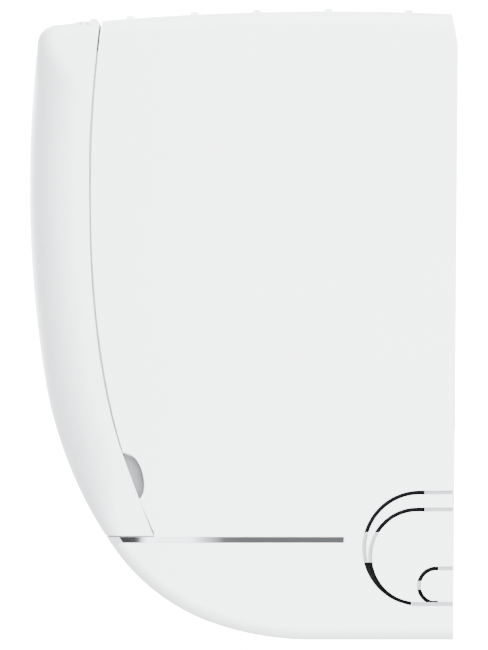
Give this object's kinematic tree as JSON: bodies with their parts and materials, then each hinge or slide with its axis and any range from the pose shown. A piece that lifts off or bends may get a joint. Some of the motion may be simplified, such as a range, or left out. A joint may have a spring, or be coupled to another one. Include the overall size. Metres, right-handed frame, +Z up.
{
  "type": "wall-mounted air conditioner indoor unit",
  "caption": "White wall-hung indoor unit of a split air conditioner with a hinged curved front panel, top intake grille, linked vanes, a long swing flap and a cross-flow fan.",
  "frame": {"origin": "centre of the steel mounting plate's face on the wall", "axes": "+X to the right for someone facing the unit, +Y into the wall, +Z up"},
  "size_m": [0.805, 0.1944, 0.2863],
  "materials": {
    "white_case": "satin ABS moulding, very fine texture",
    "white_panel": "smooth satin ABS moulding",
    "white_inner": "matt white polystyrene",
    "chrome_trim": "bright plated strip",
    "smoked_lens": "smoked translucent acrylic",
    "grey_plastic": "matt grey moulding",
    "filter_blue": "matt polypropylene frame",
    "filter_net": "fine woven net",
    "fin_aluminium": "thin coated fins",
    "steel_zinc": "galvanised sheet",
    "copper": "drawn copper tube, slightly dulled",
    "brass": "machined brass",
    "foam_white": "closed-cell foam sleeve",
    "foam_grey": "matt moulded pan",
    "rubber_black": "moulded rubber",
    "black_plastic": "matt moulding",
    "fan_dark": "glass-filled plastic",
    "shaft_steel": "ground shaft",
    "motor_shell": "resin-moulded motor body",
    "board_green": "coated circuit board",
    "screw_steel": "zinc-plated screw",
    "vane_grey": "matt moulding"
  },
  "bodies": {
    "unit": {"mounting_plate": "steel_zinc", "chassis": "white_inner", "casing": "white_case", "end_cap_left": "white_case", "end_cap_right": "white_case", "top_grille": "white_case", "trim_strip": "chrome_trim", "display_board": "grey_plastic", "coil_front_lower": "fin_aluminium", "coil_front_upper": "fin_aluminium", "coil_rear": "fin_aluminium", "coil_end_plates": "steel_zinc", "return_bends": "copper", "liquid_pipe": "copper", "gas_pipe": "copper", "pipe_insulation": "foam_white", "flare_unions": "brass", "drain_pan": "foam_grey", "drain_plug": "rubber_black", "flap_motor": "white_inner", "fan_bearing": "rubber_black", "bearing_holder": "grey_plastic", "fan_motor": "motor_shell", "motor_mounts": "rubber_black", "motor_clamp": "white_inner", "control_box": "steel_zinc", "control_cover": "steel_zinc", "circuit_board": "board_green", "terminal_block": "black_plastic", "case_screws": "screw_steel", "screw_caps": "white_case"},
    "panel": {"front_panel": "white_panel", "display_lens": "smoked_lens", "panel_catches": "white_inner"},
    "flap": {"air_flap": "white_panel"},
    "fan": {"fan_rotor": "fan_dark", "motor_shaft": "shaft_steel", "fan_journal": "shaft_steel"},
    "filter_left": {"filter_left_frame": "filter_blue", "filter_left_mesh": "filter_net"},
    "filter_right": {"filter_right_frame": "filter_blue", "filter_right_mesh": "filter_net"},
    "button": {"emergency_button": "grey_plastic"},
    "rod_left": {"vane_rod_left": "vane_grey"},
    "rod_right": {"vane_rod_right": "vane_grey"},
    "vane_01": {"vane_01": "vane_grey"},
    "vane_02": {"vane_02": "vane_grey"},
    "vane_03": {"vane_03": "vane_grey"},
    "vane_04": {"vane_04": "vane_grey"},
    "vane_05": {"vane_05": "vane_grey"},
    "vane_06": {"vane_06": "vane_grey"},
    "vane_07": {"vane_07": "vane_grey"},
    "vane_08": {"vane_08": "vane_grey"},
    "vane_09": {"vane_09": "vane_grey"},
    "vane_10": {"vane_10": "vane_grey"},
    "vane_11": {"vane_11": "vane_grey"},
    "vane_12": {"vane_12": "vane_grey"}
  },
  "joints": [
    {"name": "panel_hinge", "type": "hinge", "parent": "unit", "child": "panel", "pos_m": [0, -0.168, 0.1053], "axis": [-1, 0, 0], "range_deg": [0, 60]},
    {"name": "flap_pivot", "type": "hinge", "parent": "unit", "child": "flap", "pos_m": [0, -0.1025, -0.163], "axis": [1, 0, 0], "range_deg": [0, 80]},
    {"name": "fan_spin", "type": "hinge", "parent": "unit", "child": "fan", "pos_m": [-0.03, -0.082, -0.0585], "axis": [1, 0, 0], "continuous": true},
    {"name": "filter_left_lift", "type": "hinge", "parent": "unit", "child": "filter_left", "pos_m": [-0.185, 0.6448, 0.0141], "axis": [-1, 0, 0], "range_deg": [0, 1.3]},
    {"name": "filter_right_lift", "type": "hinge", "parent": "unit", "child": "filter_right", "pos_m": [0.135, 0.6448, 0.0141], "axis": [-1, 0, 0], "range_deg": [0, 1.3]},
    {"name": "button_press", "type": "slide", "parent": "unit", "child": "button", "axis": [0, 1, 0], "range_m": [0, 0.001], "stiffness_N_per_m": 250},
    {"name": "vane_01_swing", "type": "hinge", "parent": "unit", "child": "vane_01", "pos_m": [-0.30475, -0.0834, -0.1436], "axis": [0, -0.7958, 0.6056], "range_deg": [-40, 40]},
    {"name": "vane_02_swing", "type": "hinge", "parent": "unit", "child": "vane_02", "pos_m": [-0.25475, -0.0834, -0.1436], "axis": [0, -0.7958, 0.6056], "range_deg": [-40, 40]},
    {"name": "vane_03_swing", "type": "hinge", "parent": "unit", "child": "vane_03", "pos_m": [-0.20475, -0.0834, -0.1436], "axis": [0, -0.7958, 0.6056], "range_deg": [-40, 40]},
    {"name": "vane_04_swing", "type": "hinge", "parent": "unit", "child": "vane_04", "pos_m": [-0.15475, -0.0834, -0.1436], "axis": [0, -0.7958, 0.6056], "range_deg": [-40, 40]},
    {"name": "vane_05_swing", "type": "hinge", "parent": "unit", "child": "vane_05", "pos_m": [-0.10475, -0.0834, -0.1436], "axis": [0, -0.7958, 0.6056], "range_deg": [-40, 40]},
    {"name": "vane_06_swing", "type": "hinge", "parent": "unit", "child": "vane_06", "pos_m": [-0.05475, -0.0834, -0.1436], "axis": [0, -0.7958, 0.6056], "range_deg": [-40, 40]},
    {"name": "vane_07_swing", "type": "hinge", "parent": "unit", "child": "vane_07", "pos_m": [-0.00475, -0.0834, -0.1436], "axis": [0, -0.7958, 0.6056], "range_deg": [-40, 40]},
    {"name": "vane_08_swing", "type": "hinge", "parent": "unit", "child": "vane_08", "pos_m": [0.04525, -0.0834, -0.1436], "axis": [0, -0.7958, 0.6056], "range_deg": [-40, 40]},
    {"name": "vane_09_swing", "type": "hinge", "parent": "unit", "child": "vane_09", "pos_m": [0.09525, -0.0834, -0.1436], "axis": [0, -0.7958, 0.6056], "range_deg": [-40, 40]},
    {"name": "vane_10_swing", "type": "hinge", "parent": "unit", "child": "vane_10", "pos_m": [0.14525, -0.0834, -0.1436], "axis": [0, -0.7958, 0.6056], "range_deg": [-40, 40]},
    {"name": "vane_11_swing", "type": "hinge", "parent": "unit", "child": "vane_11", "pos_m": [0.19525, -0.0834, -0.1436], "axis": [0, -0.7958, 0.6056], "range_deg": [-40, 40]},
    {"name": "vane_12_swing", "type": "hinge", "parent": "unit", "child": "vane_12", "pos_m": [0.24525, -0.0834, -0.1436], "axis": [0, -0.7958, 0.6056], "range_deg": [-40, 40]},
    {"name": "rod_left_hinge", "type": "hinge", "parent": "vane_01", "child": "rod_left", "pos_m": [-0.30475, -0.09823, -0.1185], "axis": [0, -0.7958, 0.6056], "range_deg": [-40, 40]},
    {"name": "rod_right_hinge", "type": "hinge", "parent": "vane_07", "child": "rod_right", "pos_m": [-0.00475, -0.09823, -0.1185], "axis": [0, -0.7958, 0.6056], "range_deg": [-40, 40]}
  ],
  "couplings": [
    {"joint": "vane_02_swing", "follows": "vane_01_swing", "ratio": 1},
    {"joint": "vane_03_swing", "follows": "vane_01_swing", "ratio": 1},
    {"joint": "vane_04_swing", "follows": "vane_01_swing", "ratio": 1},
    {"joint": "vane_05_swing", "follows": "vane_01_swing", "ratio": 1},
    {"joint": "vane_06_swing", "follows": "vane_01_swing", "ratio": 1},
    {"joint": "vane_08_swing", "follows": "vane_07_swing", "ratio": 1},
    {"joint": "vane_09_swing", "follows": "vane_07_swing", "ratio": 1},
    {"joint": "vane_10_swing", "follows": "vane_07_swing", "ratio": 1},
    {"joint": "vane_11_swing", "follows": "vane_07_swing", "ratio": 1},
    {"joint": "vane_12_swing", "follows": "vane_07_swing", "ratio": 1},
    {"joint": "rod_left_hinge", "follows": "vane_01_swing", "ratio": -1},
    {"joint": "rod_right_hinge", "follows": "vane_07_swing", "ratio": -1}
  ]
}
